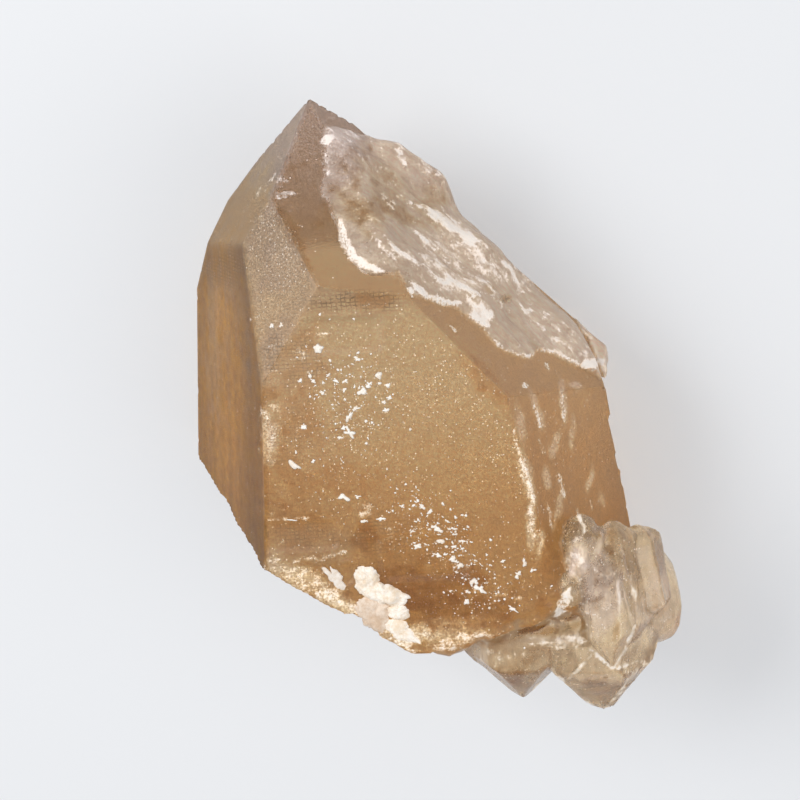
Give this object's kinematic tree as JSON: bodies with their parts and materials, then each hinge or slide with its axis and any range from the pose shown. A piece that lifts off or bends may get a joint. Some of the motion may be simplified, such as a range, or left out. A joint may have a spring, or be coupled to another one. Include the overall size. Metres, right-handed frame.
{
  "type": "citrine crystal point",
  "caption": "Smoky citrine quartz point with a lumpy shoulder overgrowth, a broken lower end, a bunch of small crystals at one corner and a crust patch, lying on its flat back face.",
  "frame": {"origin": "on the ground under the middle of the object's box", "axes": "+Y along the crystal's long axis towards its point, +Z out of the front prism face, up from the back prism face it lies on, +X to the right across the front face"},
  "size_m": [0.0963, 0.1179, 0.0538],
  "materials": {
    "citrine_quartz": "clear to cloudy golden brown quartz, faces finely etched and striated, broken and overgrown parts milky",
    "cream_crust": "opaque matt cream mineral crust, finely grained"
  },
  "bodies": {
    "root": {"crystal_point": "citrine_quartz", "mineral_crust": "cream_crust"}
  },
  "joints": []
}
